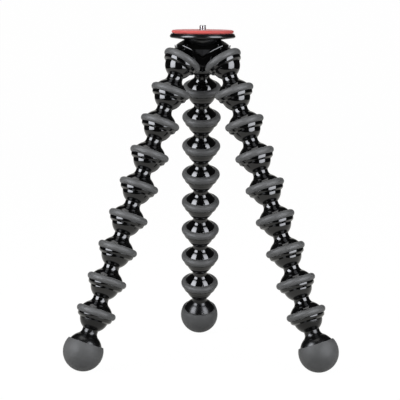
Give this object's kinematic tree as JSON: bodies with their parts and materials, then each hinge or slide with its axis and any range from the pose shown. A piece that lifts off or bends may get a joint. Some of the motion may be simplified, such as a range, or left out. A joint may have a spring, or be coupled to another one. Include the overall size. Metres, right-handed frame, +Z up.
{
  "type": "flexible leg tripod",
  "caption": "Small tripod with bendable legs of snap-together ball links, grey grip rings and round rubber feet, and a red-padded camera seat with a screw.",
  "frame": {"origin": "centre of the camera seat, where the screw's axis crosses the top of the red pad", "axes": "+Z up along the camera screw, -Y towards the front between the two front legs"},
  "size_m": [0.246, 0.2179, 0.3063],
  "materials": {
    "link_black": "glossy black moulded plastic",
    "ring_grey": "matt grey rubber",
    "foot_grey": "matt dark grey rubber",
    "plate_black": "black satin coating",
    "pad_red": "red satin rubber",
    "screw_steel": "bright steel",
    "insert_brass": "plain brass"
  },
  "bodies": {
    "hub": {"hub_body": "link_black", "hub_insert": "insert_brass", "hub_rings": "ring_grey", "top_plate": "plate_black", "grip_pad": "pad_red", "camera_screw": "screw_steel"},
    "left_leg_1": {"left_link_1": "link_black", "left_ring_1": "ring_grey"},
    "left_leg_2": {"left_link_2": "link_black", "left_ring_2": "ring_grey"},
    "left_leg_3": {"left_link_3": "link_black", "left_ring_3": "ring_grey"},
    "left_leg_4": {"left_link_4": "link_black", "left_ring_4": "ring_grey"},
    "left_leg_5": {"left_link_5": "link_black", "left_ring_5": "ring_grey"},
    "left_leg_6": {"left_link_6": "link_black", "left_ring_6": "ring_grey"},
    "left_leg_7": {"left_link_7": "link_black", "left_ring_7": "ring_grey"},
    "left_leg_8": {"left_link_8": "link_black", "left_ring_8": "ring_grey"},
    "left_foot": {"left_foot_stud": "link_black", "left_foot_pad": "foot_grey"},
    "right_leg_1": {"right_link_1": "link_black", "right_ring_1": "ring_grey"},
    "right_leg_2": {"right_link_2": "link_black", "right_ring_2": "ring_grey"},
    "right_leg_3": {"right_link_3": "link_black", "right_ring_3": "ring_grey"},
    "right_leg_4": {"right_link_4": "link_black", "right_ring_4": "ring_grey"},
    "right_leg_5": {"right_link_5": "link_black", "right_ring_5": "ring_grey"},
    "right_leg_6": {"right_link_6": "link_black", "right_ring_6": "ring_grey"},
    "right_leg_7": {"right_link_7": "link_black", "right_ring_7": "ring_grey"},
    "right_leg_8": {"right_link_8": "link_black", "right_ring_8": "ring_grey"},
    "right_foot": {"right_foot_stud": "link_black", "right_foot_pad": "foot_grey"},
    "rear_leg_1": {"rear_link_1": "link_black", "rear_ring_1": "ring_grey"},
    "rear_leg_2": {"rear_link_2": "link_black", "rear_ring_2": "ring_grey"},
    "rear_leg_3": {"rear_link_3": "link_black", "rear_ring_3": "ring_grey"},
    "rear_leg_4": {"rear_link_4": "link_black", "rear_ring_4": "ring_grey"},
    "rear_leg_5": {"rear_link_5": "link_black", "rear_ring_5": "ring_grey"},
    "rear_leg_6": {"rear_link_6": "link_black", "rear_ring_6": "ring_grey"},
    "rear_leg_7": {"rear_link_7": "link_black", "rear_ring_7": "ring_grey"},
    "rear_leg_8": {"rear_link_8": "link_black", "rear_ring_8": "ring_grey"},
    "rear_foot": {"rear_foot_stud": "link_black", "rear_foot_pad": "foot_grey"}
  },
  "joints": [
    {"name": "left_swing_1", "type": "hinge", "parent": "hub", "child": "left_leg_1", "pos_m": [-0.02087, -0.01205, -0.0314], "axis": [-0.5, 0.866, 0], "range_deg": [-21, 54]},
    {"name": "left_sway_2", "type": "hinge", "parent": "left_leg_1", "child": "left_leg_2", "pos_m": [-0.03015, -0.01741, -0.05931], "axis": [-0.8085, -0.4668, 0.3584], "range_deg": [-40, 40]},
    {"name": "left_swing_3", "type": "hinge", "parent": "left_leg_2", "child": "left_leg_3", "pos_m": [-0.03943, -0.02277, -0.08723], "axis": [0.5, -0.866, 0], "range_deg": [-40, 40]},
    {"name": "left_sway_4", "type": "hinge", "parent": "left_leg_3", "child": "left_leg_4", "pos_m": [-0.04871, -0.02812, -0.11514], "axis": [0.8085, 0.4668, -0.3584], "range_deg": [-40, 40]},
    {"name": "left_swing_5", "type": "hinge", "parent": "left_leg_4", "child": "left_leg_5", "pos_m": [-0.05799, -0.03348, -0.14306], "axis": [-0.5, 0.866, 0], "range_deg": [-40, 40]},
    {"name": "left_sway_6", "type": "hinge", "parent": "left_leg_5", "child": "left_leg_6", "pos_m": [-0.06727, -0.03884, -0.17097], "axis": [-0.8085, -0.4668, 0.3584], "range_deg": [-40, 40]},
    {"name": "left_swing_7", "type": "hinge", "parent": "left_leg_6", "child": "left_leg_7", "pos_m": [-0.07655, -0.0442, -0.19888], "axis": [0.5, -0.866, 0], "range_deg": [-40, 40]},
    {"name": "left_sway_8", "type": "hinge", "parent": "left_leg_7", "child": "left_leg_8", "pos_m": [-0.08583, -0.04955, -0.2268], "axis": [0.8085, 0.4668, -0.3584], "range_deg": [-40, 40]},
    {"name": "left_swing_9", "type": "hinge", "parent": "left_leg_8", "child": "left_foot", "pos_m": [-0.09511, -0.05491, -0.25471], "axis": [-0.5, 0.866, 0], "range_deg": [-40, 40]},
    {"name": "right_swing_1", "type": "hinge", "parent": "hub", "child": "right_leg_1", "pos_m": [0.02087, -0.01205, -0.0314], "axis": [-0.5, -0.866, 0], "range_deg": [-21, 54]},
    {"name": "right_sway_2", "type": "hinge", "parent": "right_leg_1", "child": "right_leg_2", "pos_m": [0.03015, -0.01741, -0.05931], "axis": [0.8085, -0.4668, 0.3584], "range_deg": [-40, 40]},
    {"name": "right_swing_3", "type": "hinge", "parent": "right_leg_2", "child": "right_leg_3", "pos_m": [0.03943, -0.02277, -0.08723], "axis": [0.5, 0.866, 0], "range_deg": [-40, 40]},
    {"name": "right_sway_4", "type": "hinge", "parent": "right_leg_3", "child": "right_leg_4", "pos_m": [0.04871, -0.02812, -0.11514], "axis": [-0.8085, 0.4668, -0.3584], "range_deg": [-40, 40]},
    {"name": "right_swing_5", "type": "hinge", "parent": "right_leg_4", "child": "right_leg_5", "pos_m": [0.05799, -0.03348, -0.14306], "axis": [-0.5, -0.866, 0], "range_deg": [-40, 40]},
    {"name": "right_sway_6", "type": "hinge", "parent": "right_leg_5", "child": "right_leg_6", "pos_m": [0.06727, -0.03884, -0.17097], "axis": [0.8085, -0.4668, 0.3584], "range_deg": [-40, 40]},
    {"name": "right_swing_7", "type": "hinge", "parent": "right_leg_6", "child": "right_leg_7", "pos_m": [0.07655, -0.0442, -0.19888], "axis": [0.5, 0.866, 0], "range_deg": [-40, 40]},
    {"name": "right_sway_8", "type": "hinge", "parent": "right_leg_7", "child": "right_leg_8", "pos_m": [0.08583, -0.04955, -0.2268], "axis": [-0.8085, 0.4668, -0.3584], "range_deg": [-40, 40]},
    {"name": "right_swing_9", "type": "hinge", "parent": "right_leg_8", "child": "right_foot", "pos_m": [0.09511, -0.05491, -0.25471], "axis": [-0.5, -0.866, 0], "range_deg": [-40, 40]},
    {"name": "rear_swing_1", "type": "hinge", "parent": "hub", "child": "rear_leg_1", "pos_m": [0, 0.0241, -0.0314], "axis": [1, 0, 0], "range_deg": [-21, 54]},
    {"name": "rear_sway_2", "type": "hinge", "parent": "rear_leg_1", "child": "rear_leg_2", "pos_m": [0, 0.03482, -0.05931], "axis": [0, 0.9336, 0.3584], "range_deg": [-40, 40]},
    {"name": "rear_swing_3", "type": "hinge", "parent": "rear_leg_2", "child": "rear_leg_3", "pos_m": [0, 0.04553, -0.08723], "axis": [-1, 0, 0], "range_deg": [-40, 40]},
    {"name": "rear_sway_4", "type": "hinge", "parent": "rear_leg_3", "child": "rear_leg_4", "pos_m": [0, 0.05625, -0.11514], "axis": [0, -0.9336, -0.3584], "range_deg": [-40, 40]},
    {"name": "rear_swing_5", "type": "hinge", "parent": "rear_leg_4", "child": "rear_leg_5", "pos_m": [0, 0.06696, -0.14306], "axis": [1, 0, 0], "range_deg": [-40, 40]},
    {"name": "rear_sway_6", "type": "hinge", "parent": "rear_leg_5", "child": "rear_leg_6", "pos_m": [0, 0.07768, -0.17097], "axis": [0, 0.9336, 0.3584], "range_deg": [-40, 40]},
    {"name": "rear_swing_7", "type": "hinge", "parent": "rear_leg_6", "child": "rear_leg_7", "pos_m": [0, 0.08839, -0.19888], "axis": [-1, 0, 0], "range_deg": [-40, 40]},
    {"name": "rear_sway_8", "type": "hinge", "parent": "rear_leg_7", "child": "rear_leg_8", "pos_m": [0, 0.09911, -0.2268], "axis": [0, -0.9336, -0.3584], "range_deg": [-40, 40]},
    {"name": "rear_swing_9", "type": "hinge", "parent": "rear_leg_8", "child": "rear_foot", "pos_m": [0, 0.10982, -0.25471], "axis": [1, 0, 0], "range_deg": [-40, 40]}
  ]
}
